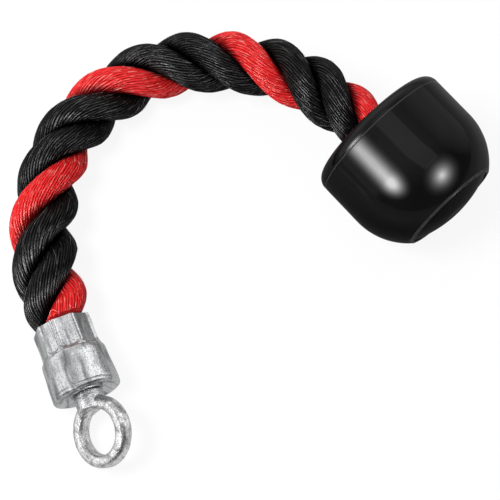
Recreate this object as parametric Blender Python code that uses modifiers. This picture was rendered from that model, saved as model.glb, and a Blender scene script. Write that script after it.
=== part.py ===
"""Triceps rope attachment: a short three-strand laid rope with a crimped steel socket and a swivel eye
at one end, and a ball stopper at the other. It lies on the floor in an arch. Metres, +Z up."""

import math

import bmesh
import bpy
import numpy as np
from mathutils import Vector

# The clearance that touching pieces keep, and how far a cutter runs past what it cuts.
FIT_GAP = 0.0003
OVERRUN = 0.004
MERGE_DISTANCE = 0.00001

# The rope, and how it is laid: the red strand's angle from straight up at the socket's mouth.
ROPE_DIAMETER = 0.0276
LAY_LENGTH = 0.0628
LAY_START_DEG = 14.5
STEPS_PER_LAY = 17

# A strand's section is an oval on one side of the rope's centre, cut off along its neighbours.
# In shares of the rope's radius: the oval's centre, its half width, and the core left open.
STRAND_GAP = 0.0004
OVAL_CENTRE_SHARE = 0.47
OVAL_WIDTH_SHARE = 0.61
CORE_SHARE = 0.10

# The rope's route on the floor from the socket's mouth to the ball's, in shares of its reach:
# x, y, the share of the rise to the socket, the share of the rise to the ball and the rope's width.
ROUTE_REACH = 0.1325
ROUTE_SHARES = (
    (-0.5986, -0.2746, 1.00, 0.00, 1.07),
    (-0.6491, -0.1026, 0.00, 0.00, 1.07),
    (-0.6694, 0.0264, 0.00, 0.00, 1.05),
    (-0.6608, 0.1615, 0.00, 0.00, 1.03),
    (-0.6355, 0.2936, 0.00, 0.00, 1.00),
    (-0.5638, 0.4249, 0.00, 0.00, 1.00),
    (-0.4596, 0.5268, 0.00, 0.00, 0.99),
    (-0.3291, 0.6079, 0.00, 0.05, 0.99),
    (-0.1766, 0.6317, 0.00, 0.22, 1.00),
    (-0.0068, 0.6087, 0.00, 0.49, 0.98),
    (0.1615, 0.5389, 0.00, 0.79, 0.97),
    (0.2792, 0.4457, 0.00, 0.97, 0.96),
    (0.3940, 0.3392, 0.00, 1.00, 0.84),
)
BALL_PLACE_SHARES = (0.4063, 0.3504)
ROUTE_SAMPLES = 600
SOCKET_TURN_DEG = 22.0
SOCKET_TILT_DEG = 1.0
BALL_TURN_DEG = 42.2
BALL_TILT_DEG = 3.0

# How far the sleeve and the stop collar grip the rope in, and the length that it swells out over.
SLEEVE_GRIP_SHARE = 0.765
COLLAR_GRIP_SHARE = 0.832
SLEEVE_EASE = 0.013

# The socket: a cup with a sleeve above it, crimped by eight jaws.
SLEEVE_LENGTH = 0.0143
SLEEVE_WALL = 0.00105
JAW_COUNT = 8
JAW_SPACE = 0.0008
JAW_END_DEG = 45.0
RIDGE_HEIGHT = 0.0004
CUP_PROUD = 0.0011
CUP_TAPER = 0.0006
CUP_SHOULDER = 0.0038
CUP_WALL = 0.0018
CUP_BASE = 0.003
CUP_ROOM = 0.0032
RIM_ROUND = 0.002
RIM_LAND = 0.0006
BASE_RECESS = 0.0025

# The swivel eye, its shank, and what holds it in the socket.
EYE_HOLE_DIAMETER = 0.0194
EYE_BAR = 0.0054
EYE_THICKNESS = 0.0068
EYE_ROUND = 0.0022
EYE_INNER_ROUND = 0.0018
EYE_TURN_DEG = -43.0
NECK_DIAMETER = 0.0115
NECK_LENGTH = 0.0011
NECK_ROOT = 0.004
NECK_FLARE = 0.0042
COLLAR_DIAMETER = 0.013
COLLAR_LENGTH = 0.0015
SHANK_DIAMETER = 0.008
SHANK_PROUD = 0.001
EYE_WASHER_DIAMETER = 0.0148
EYE_WASHER_THICKNESS = 0.0015
SHANK_WASHER_DIAMETER = 0.018
SHANK_WASHER_THICKNESS = 0.0016
NUT_ACROSS_FLATS = 0.013
NUT_HEIGHT = 0.0065

# The ball, from its rope face to the rim round its cap.
BALL_DIAMETER = 0.066
BALL_LENGTH = 0.0484
BALL_SHOULDER = 0.005
BALL_SIDE_END = 0.0252
BORE_ROUND = 0.0012

# What stops the rope in the ball, and the cap over it.
STOP_COLLAR_LENGTH = 0.010
STOP_COLLAR_WALL = 0.0045
STOP_WASHER_MARGIN = 0.001
STOP_WASHER_THICKNESS = 0.002
ROPE_TAIL = 0.001
CAP_LEDGE = 0.0037
CAP_LIP = 0.0007
CAP_PLATE = 0.003
CAP_SPIGOT = 0.004
CAP_SPIGOT_WALL = 0.0018
CAP_DOME = 0.0035
CAP_FLAT_DIAMETER = 0.012
CAP_EDGE = 0.0007

# The small chamfer on turned steel pieces, and the counts that round shapes are made with.
CHAMFER = 0.0004
FINE_STEPS = 48
COARSE_STEPS = 32
ARC_POINTS = 4
NOSE_POINTS = 8
NECK_STATIONS = 7
CROWN_POINTS = 7

# Sizes that follow from the ones above. Distances run down from each fitting's mouth.
ROPE_RADIUS = ROPE_DIAMETER / 2
BALL_RADIUS = BALL_DIAMETER / 2
SLEEVE_BORE_RADIUS = ROPE_RADIUS * SLEEVE_GRIP_SHARE + FIT_GAP
FLAT_RADIUS = SLEEVE_BORE_RADIUS + SLEEVE_WALL
RIDGE_RADIUS = FLAT_RADIUS / math.cos(math.pi / JAW_COUNT) + RIDGE_HEIGHT
CUP_RADIUS = ROPE_RADIUS + CUP_PROUD
CUP_TOP_RADIUS = CUP_RADIUS - CUP_TAPER
SHANK_RADIUS = SHANK_DIAMETER / 2
SHANK_HOLE_RADIUS = SHANK_RADIUS + FIT_GAP
NUT_STACK = SHANK_WASHER_THICKNESS + NUT_HEIGHT + 2 * FIT_GAP
CUP_FLOOR = SLEEVE_LENGTH + CUP_ROOM + SHANK_PROUD + NUT_STACK
BASE_FACE = CUP_FLOOR + CUP_BASE
SOCKET_LENGTH = BASE_FACE + BASE_RECESS
COLLAR_TOP = BASE_FACE + EYE_WASHER_THICKNESS + 2 * FIT_GAP
COLLAR_BOTTOM = COLLAR_TOP + COLLAR_LENGTH
EYE_RADIUS = EYE_HOLE_DIAMETER / 2 + EYE_BAR
EYE_DROP = COLLAR_BOTTOM + NECK_LENGTH + EYE_RADIUS
BORE_RADIUS = ROPE_RADIUS + FIT_GAP
COLLAR_BORE_RADIUS = ROPE_RADIUS * COLLAR_GRIP_SHARE + FIT_GAP
STOP_COLLAR_RADIUS = COLLAR_BORE_RADIUS + STOP_COLLAR_WALL
STOP_WASHER_RADIUS = STOP_COLLAR_RADIUS + STOP_WASHER_MARGIN
COUNTERBORE_RADIUS = STOP_WASHER_RADIUS + FIT_GAP
CAP_RECESS_RADIUS = COUNTERBORE_RADIUS + CAP_LEDGE
CAP_RADIUS = CAP_RECESS_RADIUS - FIT_GAP
RIM_RADIUS = CAP_RECESS_RADIUS + CAP_LIP
NOSE_DEPTH = BALL_LENGTH - BALL_SIDE_END
NOSE_DRAW = BALL_RADIUS - RIM_RADIUS
NOSE_RADIUS = (NOSE_DEPTH**2 + NOSE_DRAW**2) / (2 * NOSE_DRAW)
CAP_SEAT = BALL_LENGTH - CAP_PLATE
STOP_COLLAR_END = CAP_SEAT - CAP_SPIGOT - FIT_GAP
STOP_COLLAR_TOP = STOP_COLLAR_END - STOP_COLLAR_LENGTH
STOP_WASHER_TOP = STOP_COLLAR_TOP - FIT_GAP - STOP_WASHER_THICKNESS
BORE_LENGTH = STOP_WASHER_TOP - FIT_GAP
ROPE_IN_BALL = STOP_COLLAR_END + ROPE_TAIL

RED = (0.70, 0.012, 0.014)
ROPE_BLACK = (0.012, 0.012, 0.013)
BALL_BLACK = (0.006, 0.006, 0.006)
ZINC = (0.60, 0.61, 0.62)
BRIGHT_STEEL = (0.72, 0.72, 0.72)


def clear_scene():
    for obj in list(bpy.data.objects):
        bpy.data.objects.remove(obj)


def new_collection(name):
    collection = bpy.data.collections.new(name)
    bpy.context.scene.collection.children.link(collection)
    return collection


def new_material(name, colour, roughness, metallic):
    material = bpy.data.materials.new(name)
    material.use_nodes = True
    shader = material.node_tree.nodes["Principled BSDF"]
    shader.inputs["Base Color"].default_value = (*colour, 1.0)
    shader.inputs["Roughness"].default_value = roughness
    shader.inputs["Metallic"].default_value = metallic
    material.diffuse_color = (*colour, 1.0)
    return material


def new_object(name, data, collection, seat=None):
    obj = bpy.data.objects.new(name, data)
    collection.objects.link(obj)
    obj.parent = seat
    return obj


def new_seat(name, collection, location, direction):
    """An empty at a fitting's mouth, with its Z along the rope, out of the fitting."""
    seat = new_object(name, None, collection)
    seat.location = location
    seat.rotation_mode = "QUATERNION"
    seat.rotation_quaternion = direction.to_track_quat("Z", "Y")
    return seat


def helper(obj):
    """Marks a shape that only cuts another or is joined to it."""
    obj.hide_render = True
    obj.display_type = "WIRE"
    return obj


def boolean(obj, other, operation):
    modifier = obj.modifiers.new(f"{operation.title()} {other.name}", "BOOLEAN")
    modifier.operation = operation
    modifier.object = other


def arc(centre_r, centre_z, radius, start_deg, end_deg, points=ARC_POINTS):
    """Points (r, z) along an arc, both ends included. Zero degrees points away from the axis."""
    angles = np.radians(np.linspace(start_deg, end_deg, points + 1))
    return [(centre_r + radius * math.cos(a), centre_z + radius * math.sin(a)) for a in angles]


def turned(name, profile, collection, seat, steps=FINE_STEPS, closed=True):
    """A piece turned about its own Z. The profile (r, z) runs down the outer side, then up the inner."""
    mesh = bpy.data.meshes.new(name)
    last = len(profile) - 1
    edges = [(i, i + 1) for i in range(last)] + ([(last, 0)] if closed else [])
    mesh.from_pydata([(r, 0.0, z) for r, z in profile], edges, [])
    obj = new_object(name, mesh, collection, seat)
    screw = obj.modifiers.new("Turn", "SCREW")
    screw.steps = screw.render_steps = steps
    screw.use_merge_vertices = True
    screw.merge_threshold = MERGE_DISTANCE
    screw.use_smooth_shade = True
    return obj


def ring(name, outer, inner, top, thickness, collection, seat):
    """A washer or a collar, its outer edges chamfered. Its top is this far below the mouth."""
    high, low = -top, -top - thickness
    profile = [
        (inner, high),
        (outer - CHAMFER, high),
        (outer, high - CHAMFER),
        (outer, low + CHAMFER),
        (outer - CHAMFER, low),
        (inner, low),
    ]
    return turned(name, profile, collection, seat, COARSE_STEPS)


def heading(turn_deg, tilt_deg=0.0):
    """A direction, from its turn to the left of +Y and its dip below the floor's plane."""
    turn, tilt = math.radians(turn_deg), math.radians(tilt_deg)
    flat = math.cos(tilt)
    return Vector((-math.sin(turn) * flat, math.cos(turn) * flat, -math.sin(tilt)))


def smooth_step(share):
    share = np.clip(share, 0, 1)
    return share * share * (3 - 2 * share)


def socket_height():
    """The height of the socket's mouth when the cup's lower edge rests on the floor."""
    tilt = math.radians(SOCKET_TILT_DEG)
    return CUP_RADIUS * math.cos(tilt) - (SOCKET_LENGTH - RIM_ROUND) * math.sin(tilt)


def ball_height():
    """The height of the ball's mouth when its nose rests on the floor."""
    tilt = math.radians(BALL_TILT_DEG)
    to_axis = NOSE_RADIUS + (BALL_RADIUS - NOSE_RADIUS) * math.cos(tilt)
    return to_axis + BALL_SIDE_END * math.sin(tilt)


def ball_mouth():
    across, along = BALL_PLACE_SHARES
    return Vector((across * ROUTE_REACH, along * ROUTE_REACH, ball_height()))


def route_points():
    points = []
    for x, y, to_socket, to_ball, width in ROUTE_SHARES:
        lying = width * ROPE_RADIUS
        height = lying + to_socket * (socket_height() - lying) + to_ball * (ball_height() - lying)
        points.append((x * ROUTE_REACH, y * ROUTE_REACH, height))
    return np.array(points)


def lengths_along(line):
    return np.concatenate([[0], np.cumsum(np.linalg.norm(np.diff(line, axis=0), axis=1))])


def clamped_spline(points, start, end):
    """A cubic spline through the points that leaves along start and arrives along end."""
    knots = lengths_along(points)
    widths = np.diff(knots)
    slopes = np.diff(points, axis=0) / widths[:, None]
    count = len(points)
    system, wanted = np.eye(count), np.zeros((count, 3))
    wanted[0], wanted[-1] = start, end
    for i in range(1, count - 1):
        before, after = widths[i - 1], widths[i]
        system[i, i - 1 : i + 2] = after, 2 * (before + after), before
        wanted[i] = 3 * (after * slopes[i - 1] + before * slopes[i])
    tangents = np.linalg.solve(system, wanted)
    at = np.linspace(0, knots[-1], ROUTE_SAMPLES)
    left = np.clip(np.searchsorted(knots, at) - 1, 0, count - 2)
    width = widths[left][:, None]
    u = (at - knots[left])[:, None] / width
    return (
        (1 + 2 * u) * (1 - u) ** 2 * points[left]
        + u * (1 - u) ** 2 * width * tangents[left]
        + u**2 * (3 - 2 * u) * points[left + 1]
        + u**2 * (u - 1) * width * tangents[left + 1]
    )


def rope_centreline():
    """Points from the rope's end in the socket to its end in the ball, and their distances past the
    socket's mouth. It also gives the rope's width there as a share, and its length to the ball."""
    into_rope = np.array(heading(SOCKET_TURN_DEG, SOCKET_TILT_DEG))
    into_ball = -np.array(heading(BALL_TURN_DEG, -BALL_TILT_DEG))
    mouth = np.array(ball_mouth())
    points = np.vstack([route_points(), mouth + BORE_LENGTH * into_ball])
    routed = clamped_spline(points, into_rope, into_ball)
    in_socket = points[0] - SLEEVE_LENGTH * into_rope
    line = np.vstack([in_socket, routed, mouth + ROPE_IN_BALL * into_ball])
    along = lengths_along(line)
    step = LAY_LENGTH / STEPS_PER_LAY
    gripped = np.linspace(0, SLEEVE_LENGTH, math.ceil(SLEEVE_LENGTH / step) + 1)
    rest = along[-1] - SLEEVE_LENGTH
    at = np.append(gripped[:-1], np.linspace(SLEEVE_LENGTH, along[-1], math.ceil(rest / step) + 1))
    even = np.stack([np.interp(at, along, line[:, axis]) for axis in range(3)], axis=1)
    past_mouth = at - SLEEVE_LENGTH
    knots = lengths_along(points) * lengths_along(routed)[-1] / lengths_along(points)[-1]
    laid = np.interp(past_mouth, knots, [*(row[-1] for row in ROUTE_SHARES), COLLAR_GRIP_SHARE])
    swell = np.sin(np.clip(past_mouth / SLEEVE_EASE, 0, 1) * math.pi / 2)
    widths = SLEEVE_GRIP_SHARE + (laid - SLEEVE_GRIP_SHARE) * swell
    return even, past_mouth, widths, knots[-1] - BORE_LENGTH


def strand_outline():
    """A strand's section round the rope's centre, its crown towards +Y: an oval between two flanks."""
    centre, wide = OVAL_CENTRE_SHARE * ROPE_RADIUS, OVAL_WIDTH_SHARE * ROPE_RADIUS
    tall = ROPE_RADIUS - centre
    flank = math.radians(60)
    inset = STRAND_GAP / 2 / math.sin(flank)
    steep, spread = math.cos(flank) / tall, math.sin(flank) / wide
    lean = steep * (centre - inset) / tall
    reach = (
        lean
        + math.sqrt(lean**2 - (steep**2 + spread**2) * (((centre - inset) / tall) ** 2 - 1))
    ) / (steep**2 + spread**2)
    groove = (reach * math.sin(flank), inset + reach * math.cos(flank))
    start = math.atan2((groove[1] - centre) / tall, groove[0] / wide)
    crown = [
        (wide * math.cos(a), centre + tall * math.sin(a))
        for a in np.linspace(start, math.pi - start, CROWN_POINTS + 1)
    ]
    core = CORE_SHARE * ROPE_RADIUS
    right = [
        (r * math.sin(flank), inset + r * math.cos(flank)) for r in (core, (core + reach) / 2)
    ]
    left = [(-x, y) for x, y in reversed(right)]
    return [*right, *crown, *left]


def strand_rings(centreline, at, widths, phase):
    """The strand's section at each station, turned about the rope's centre as the lay winds."""
    outline = np.array(strand_outline())
    along = np.gradient(centreline, axis=0)
    along /= np.linalg.norm(along, axis=1)[:, None]
    up = np.array([0.0, 0.0, 1.0]) - along * along[:, 2:]
    up /= np.linalg.norm(up, axis=1)[:, None]
    across = np.cross(along, up)
    turn = (math.radians(LAY_START_DEG) + phase + 2 * math.pi * at / LAY_LENGTH)[:, None]
    crown = np.cos(turn) * up + np.sin(turn) * across
    side = np.cos(turn) * across - np.sin(turn) * up
    offsets = outline[:, 0, None] * side[:, None] + outline[:, 1, None] * crown[:, None]
    return centreline[:, None] + widths[:, None, None] * offsets


def strand_mesh(name, rings):
    """A loft through the rings. Quads are split so that the flanks of two neighbours stay parallel."""
    shape = bmesh.new()
    loops = [[shape.verts.new(point) for point in points] for points in rings]
    count = len(rings[0])
    left_flank = (count - 3, count - 2)
    for near, far in zip(loops, loops[1:]):
        for j in range(count):
            k = (j + 1) % count
            if j in left_flank:
                shape.faces.new((near[j], far[j], near[k]))
                shape.faces.new((far[j], far[k], near[k]))
            else:
                shape.faces.new((near[j], far[j], far[k]))
                shape.faces.new((near[j], far[k], near[k]))
    shape.faces.new(loops[0])
    shape.faces.new(loops[-1][::-1])
    mesh = bpy.data.meshes.new(name)
    shape.to_mesh(mesh)
    shape.free()
    return mesh


def build_rope(parts):
    """Three strands laid round one centre line, one red and two black."""
    strands = {
        "strand_red": new_material("red_yarn", RED, 0.45, 0.0),
        "strand_black_a": new_material("black_yarn_a", ROPE_BLACK, 0.42, 0.0),
        "strand_black_b": new_material("black_yarn_b", ROPE_BLACK, 0.42, 0.0),
    }
    centreline, at, widths, free_length = rope_centreline()
    for number, (name, material) in enumerate(strands.items()):
        rings = strand_rings(centreline, at, widths, 2 * math.pi * number / len(strands))
        strand = new_object(name, strand_mesh(name, rings), parts)
        strand.data.materials.append(material)
    return free_length


def jaw_shape():
    """A crimping jaw: a flat face as long as the sleeve, whose end slopes away from the axis."""
    reach = CUP_RADIUS + OVERRUN - FLAT_RADIUS
    slope = 1 / math.tan(math.radians(JAW_END_DEG))
    face_end = -SLEEVE_LENGTH + (RIDGE_RADIUS - FLAT_RADIUS) * slope
    half = FLAT_RADIUS * math.tan(math.pi / JAW_COUNT) - JAW_SPACE / 2
    outline = [
        (FLAT_RADIUS, OVERRUN),
        (FLAT_RADIUS, face_end),
        (FLAT_RADIUS + reach, face_end - reach * slope),
        (FLAT_RADIUS + reach, OVERRUN),
    ]
    shape = bmesh.new()
    face = shape.faces.new([shape.verts.new((r, -half, z)) for r, z in outline])
    grown = bmesh.ops.extrude_face_region(shape, geom=[face])["geom"]
    moved = [item for item in grown if isinstance(item, bmesh.types.BMVert)]
    bmesh.ops.translate(shape, verts=moved, vec=(0.0, 2 * half, 0.0))
    bmesh.ops.recalc_face_normals(shape, faces=shape.faces)
    mesh = bpy.data.meshes.new("jaw")
    shape.to_mesh(mesh)
    shape.free()
    return mesh


def build_socket(parts, cutters, seat):
    """The cup and sleeve in one turned piece, then the eight flats that the jaws press."""
    shoulder = []
    for angle in np.radians(np.linspace(0, 90, ARC_POINTS + 1)):
        r = RIDGE_RADIUS + (CUP_TOP_RADIUS - RIDGE_RADIUS) * math.sin(angle)
        shoulder.append((r, -SLEEVE_LENGTH - CUP_SHOULDER * (1 - math.cos(angle))))
    cavity = CUP_TOP_RADIUS - CUP_WALL
    recess = CUP_RADIUS - RIM_ROUND - RIM_LAND
    profile = [
        (RIDGE_RADIUS - CHAMFER, 0.0),
        (RIDGE_RADIUS, -CHAMFER),
        *shoulder,
        *arc(CUP_RADIUS - RIM_ROUND, RIM_ROUND - SOCKET_LENGTH, RIM_ROUND, 0, -90),
        (recess, -SOCKET_LENGTH),
        (recess - BASE_RECESS, -BASE_FACE),
        (SHANK_HOLE_RADIUS, -BASE_FACE),
        (SHANK_HOLE_RADIUS, -CUP_FLOOR),
        (cavity, -CUP_FLOOR),
        (cavity, -SLEEVE_LENGTH - CUP_SHOULDER),
        (SLEEVE_BORE_RADIUS, -SLEEVE_LENGTH),
        (SLEEVE_BORE_RADIUS, -CHAMFER),
        (SLEEVE_BORE_RADIUS + CHAMFER, 0.0),
    ]
    socket = turned("rope_socket", profile, parts, seat)
    socket.data.materials.append(new_material("zinc_plate", ZINC, 0.38, 1.0))
    jaw_mesh = jaw_shape()
    for number in range(JAW_COUNT):
        jaw = helper(new_object(f"jaw_{number + 1}", jaw_mesh, cutters, seat))
        jaw.rotation_euler.z = 2 * math.pi * number / JAW_COUNT
        boolean(socket, jaw, "DIFFERENCE")


def neck_shape():
    """A loft from the collar's round neck to the flat, flared root that runs out into the ring."""
    top = -COLLAR_BOTTOM + COLLAR_LENGTH / 2
    bottom = -COLLAR_BOTTOM - NECK_LENGTH - NECK_ROOT
    shape = bmesh.new()
    loops = []
    for share in np.linspace(0, 1, NECK_STATIONS):
        z = top + (bottom - top) * share
        below = max(0.0, (-COLLAR_BOTTOM - z) / (-COLLAR_BOTTOM - bottom))
        wide = NECK_DIAMETER / 2 + NECK_FLARE * below**2
        thin_end = EYE_THICKNESS / 2 - CHAMFER
        thick = NECK_DIAMETER / 2 + (thin_end - NECK_DIAMETER / 2) * smooth_step(below)
        angles = 2 * np.pi * np.arange(COARSE_STEPS) / COARSE_STEPS
        loops.append(
            [shape.verts.new((wide * math.cos(a), thick * math.sin(a), z)) for a in angles]
        )
    for upper, lower in zip(loops, loops[1:]):
        for i in range(COARSE_STEPS):
            j = (i + 1) % COARSE_STEPS
            shape.faces.new((upper[i], lower[i], lower[j], upper[j]))
    shape.faces.new(loops[0])
    shape.faces.new(loops[-1])
    bmesh.ops.recalc_face_normals(shape, faces=shape.faces)
    mesh = bpy.data.meshes.new("eye_neck")
    shape.to_mesh(mesh)
    shape.free()
    return mesh


def build_eye(parts, cutters, pivot):
    """The forged eye: shank and collar turned, with the neck and the ring joined on."""
    shank_end = -CUP_FLOOR + NUT_STACK + SHANK_PROUD
    collar_radius = COLLAR_DIAMETER / 2
    core = SHANK_RADIUS
    profile = [
        (0.0, shank_end),
        (SHANK_RADIUS - CHAMFER, shank_end),
        (SHANK_RADIUS, shank_end - CHAMFER),
        (SHANK_RADIUS, -COLLAR_TOP),
        (collar_radius - CHAMFER, -COLLAR_TOP),
        (collar_radius, -COLLAR_TOP - CHAMFER),
        (collar_radius, -COLLAR_BOTTOM + CHAMFER),
        (collar_radius - CHAMFER, -COLLAR_BOTTOM),
        (core, -COLLAR_BOTTOM),
        (core - CHAMFER, -COLLAR_BOTTOM - NECK_LENGTH),
        (0.0, -COLLAR_BOTTOM - NECK_LENGTH),
    ]
    eye = turned("swivel_eye", profile, parts, pivot, COARSE_STEPS, closed=False)
    eye.data.materials.append(new_material("forged_zinc", BRIGHT_STEEL, 0.28, 1.0))
    neck = helper(new_object("eye_neck", neck_shape(), cutters, pivot))
    outer, inner = EYE_RADIUS - EYE_ROUND, EYE_HOLE_DIAMETER / 2 + EYE_INNER_ROUND
    outer_half, inner_half = EYE_THICKNESS / 2 - EYE_ROUND, EYE_THICKNESS / 2 - EYE_INNER_ROUND
    section = [
        *arc(outer, outer_half, EYE_ROUND, 90, 0),
        *arc(outer, -outer_half, EYE_ROUND, 0, -90),
        *arc(inner, -inner_half, EYE_INNER_ROUND, -90, -180),
        *arc(inner, inner_half, EYE_INNER_ROUND, 180, 90),
    ]
    loop = helper(turned("eye_ring", section, cutters, pivot))
    loop.location.z = -EYE_DROP
    loop.rotation_euler.x = math.radians(90)
    boolean(eye, neck, "UNION")
    boolean(eye, loop, "UNION")


def build_nut(parts, cutters, pivot):
    """A hexagon nut, its corners turned off at both ends."""
    top = -CUP_FLOOR + NUT_STACK
    corner = NUT_ACROSS_FLATS / math.sqrt(3)
    shape = bmesh.new()
    bmesh.ops.create_cone(
        shape, cap_ends=True, segments=6, radius1=corner, radius2=corner, depth=NUT_HEIGHT
    )
    mesh = bpy.data.meshes.new("shank_nut")
    shape.to_mesh(mesh)
    shape.free()
    nut = new_object("shank_nut", mesh, parts, pivot)
    nut.location.z = top - NUT_HEIGHT / 2
    nut.data.materials.append(new_material("nut_steel", BRIGHT_STEEL, 0.35, 1.0))
    flat = NUT_ACROSS_FLATS / 2
    fall = (corner + CHAMFER - flat) / 2
    blank = [
        (SHANK_HOLE_RADIUS, top + CHAMFER),
        (flat - CHAMFER, top + CHAMFER),
        (corner + CHAMFER, top - fall),
        (corner + CHAMFER, top - NUT_HEIGHT + fall),
        (flat - CHAMFER, top - NUT_HEIGHT - CHAMFER),
        (SHANK_HOLE_RADIUS, top - NUT_HEIGHT - CHAMFER),
    ]
    turning = helper(turned("nut_turning", blank, cutters, pivot, COARSE_STEPS))
    boolean(nut, turning, "INTERSECT")


def build_swivel_washers(parts, seat, pivot):
    """The washer under the nut, and the one between the eye's collar and the socket's base."""
    steel = new_material("washer_steel", BRIGHT_STEEL, 0.33, 1.0)
    under_nut = ring(
        "shank_washer",
        SHANK_WASHER_DIAMETER / 2,
        SHANK_HOLE_RADIUS,
        CUP_FLOOR - FIT_GAP - SHANK_WASHER_THICKNESS,
        SHANK_WASHER_THICKNESS,
        parts,
        seat,
    )
    outside = ring(
        "eye_washer",
        EYE_WASHER_DIAMETER / 2,
        SHANK_HOLE_RADIUS,
        BASE_FACE + FIT_GAP,
        EYE_WASHER_THICKNESS,
        parts,
        pivot,
    )
    for washer in (under_nut, outside):
        washer.data.materials.append(steel)


def build_ball(parts, seat):
    """The ball: a flat rope face, a round shoulder, a straight side and a nose drawn in to the cap."""
    nose_end = -math.degrees(math.asin(NOSE_DEPTH / NOSE_RADIUS))
    nose_centre = BALL_RADIUS - NOSE_RADIUS
    profile = [
        *arc(BALL_RADIUS - BALL_SHOULDER, -BALL_SHOULDER, BALL_SHOULDER, 90, 0),
        *arc(nose_centre, -BALL_SIDE_END, NOSE_RADIUS, 0, nose_end, NOSE_POINTS),
        (CAP_RECESS_RADIUS, -BALL_LENGTH),
        (CAP_RECESS_RADIUS, -CAP_SEAT),
        (COUNTERBORE_RADIUS, -CAP_SEAT),
        (COUNTERBORE_RADIUS, -BORE_LENGTH),
        (BORE_RADIUS, -BORE_LENGTH),
        *arc(BORE_RADIUS + BORE_ROUND, -BORE_ROUND, BORE_ROUND, 180, 90),
    ]
    ball = turned("end_ball", profile, parts, seat)
    ball.data.materials.append(new_material("ball_plastic", BALL_BLACK, 0.12, 0.0))


def build_cap(parts, seat):
    """The cap: a shallow dome with a flat middle, a plate on the ball's ledge and a round spigot."""
    plate_top = -CAP_SEAT - FIT_GAP
    spigot_outer = COUNTERBORE_RADIUS - FIT_GAP
    spigot_inner = spigot_outer - CAP_SPIGOT_WALL
    spigot_top = plate_top + CAP_SPIGOT
    edge = CAP_RADIUS - CAP_EDGE
    sphere = (edge**2 + CAP_DOME**2) / (2 * CAP_DOME)
    slope = math.asin(edge / sphere)
    flat_angle = math.asin(CAP_FLAT_DIAMETER / 2 / sphere)
    centre_z = -BALL_LENGTH + sphere - CAP_DOME
    dome = arc(0.0, centre_z, sphere, math.degrees(slope) - 90, math.degrees(flat_angle) - 90)
    profile = [
        (0.0, plate_top),
        (spigot_inner, plate_top),
        (spigot_inner, spigot_top),
        (spigot_outer, spigot_top),
        (spigot_outer, plate_top),
        (CAP_RADIUS, plate_top),
        *arc(edge, CAP_EDGE - BALL_LENGTH, CAP_EDGE, 0, math.degrees(slope) - 90),
        *dome,
        (0.0, dome[-1][1]),
    ]
    cap = turned("end_cap", profile, parts, seat, closed=False)
    cap.data.materials.append(new_material("cap_plastic", BALL_BLACK, 0.16, 0.0))


def build_stop(parts, seat):
    """The washer on the ball's inner shoulder and the collar crimped on the rope below it."""
    washer = ring(
        "stop_washer",
        STOP_WASHER_RADIUS,
        COLLAR_BORE_RADIUS,
        STOP_WASHER_TOP,
        STOP_WASHER_THICKNESS,
        parts,
        seat,
    )
    collar = ring(
        "stop_collar",
        STOP_COLLAR_RADIUS,
        COLLAR_BORE_RADIUS,
        STOP_COLLAR_TOP,
        STOP_COLLAR_LENGTH,
        parts,
        seat,
    )
    washer.data.materials.append(new_material("stop_washer_steel", BRIGHT_STEEL, 0.35, 1.0))
    collar.data.materials.append(new_material("stop_collar_steel", ZINC, 0.40, 1.0))


def build_attachment():
    clear_scene()
    parts = new_collection("Triceps rope attachment")
    cutters = new_collection("Cutters")
    cutters.hide_render = True
    into_rope = heading(SOCKET_TURN_DEG, SOCKET_TILT_DEG)
    out_of_ball = heading(BALL_TURN_DEG, -BALL_TILT_DEG)
    socket_seat = new_seat("socket_seat", parts, route_points()[0], into_rope)
    ball_seat = new_seat("ball_seat", parts, ball_mouth(), out_of_ball)
    pivot = new_object("eye_pivot", None, parts, socket_seat)
    pivot.rotation_euler.z = math.radians(EYE_TURN_DEG)
    free_length = build_rope(parts)
    build_socket(parts, cutters, socket_seat)
    build_eye(parts, cutters, pivot)
    build_nut(parts, cutters, pivot)
    build_swivel_washers(parts, socket_seat, pivot)
    build_ball(parts, ball_seat)
    build_cap(parts, ball_seat)
    build_stop(parts, ball_seat)
    print(f"The rope runs free for {free_length:.4f} m between the socket and the ball.")


build_attachment()
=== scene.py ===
"""The looks of a triceps rope attachment: a three-strand rope with a crimped socket and swivel eye at
one end and a capped ball at the other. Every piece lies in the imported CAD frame, in metres."""

import math
from functools import partial

import bmesh
import bpy
import numpy as np
from bpy.props import FloatProperty, FloatVectorProperty, IntProperty, PointerProperty
from mathutils import Matrix, Vector


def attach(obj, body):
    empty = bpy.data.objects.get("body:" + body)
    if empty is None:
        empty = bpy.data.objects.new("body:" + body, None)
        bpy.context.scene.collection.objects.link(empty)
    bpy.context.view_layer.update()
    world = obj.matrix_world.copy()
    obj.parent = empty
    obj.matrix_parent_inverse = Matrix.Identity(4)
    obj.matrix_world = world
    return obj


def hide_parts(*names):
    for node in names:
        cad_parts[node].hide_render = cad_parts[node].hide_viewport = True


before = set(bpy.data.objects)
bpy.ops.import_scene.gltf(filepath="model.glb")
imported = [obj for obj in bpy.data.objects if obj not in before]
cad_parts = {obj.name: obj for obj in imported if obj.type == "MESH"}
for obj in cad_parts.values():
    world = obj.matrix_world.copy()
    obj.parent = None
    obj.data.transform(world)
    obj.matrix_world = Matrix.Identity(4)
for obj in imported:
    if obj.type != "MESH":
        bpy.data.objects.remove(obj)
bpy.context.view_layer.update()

bl_info = {
    "name": "Triceps Rope Attachment",
    "version": (1, 0, 0),
    "blender": (4, 5, 0),
    "location": "View3D > Sidebar > Triceps Rope",
    "description": "Builds the rope, fittings, ball and studio of a triceps rope attachment",
    "category": "Object",
}

ROPE_BODY = "rope_and_ball"
EYE_BODY = "eye"
METAL_PIECES = ("crimped_socket", "forged_eye")

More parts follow.
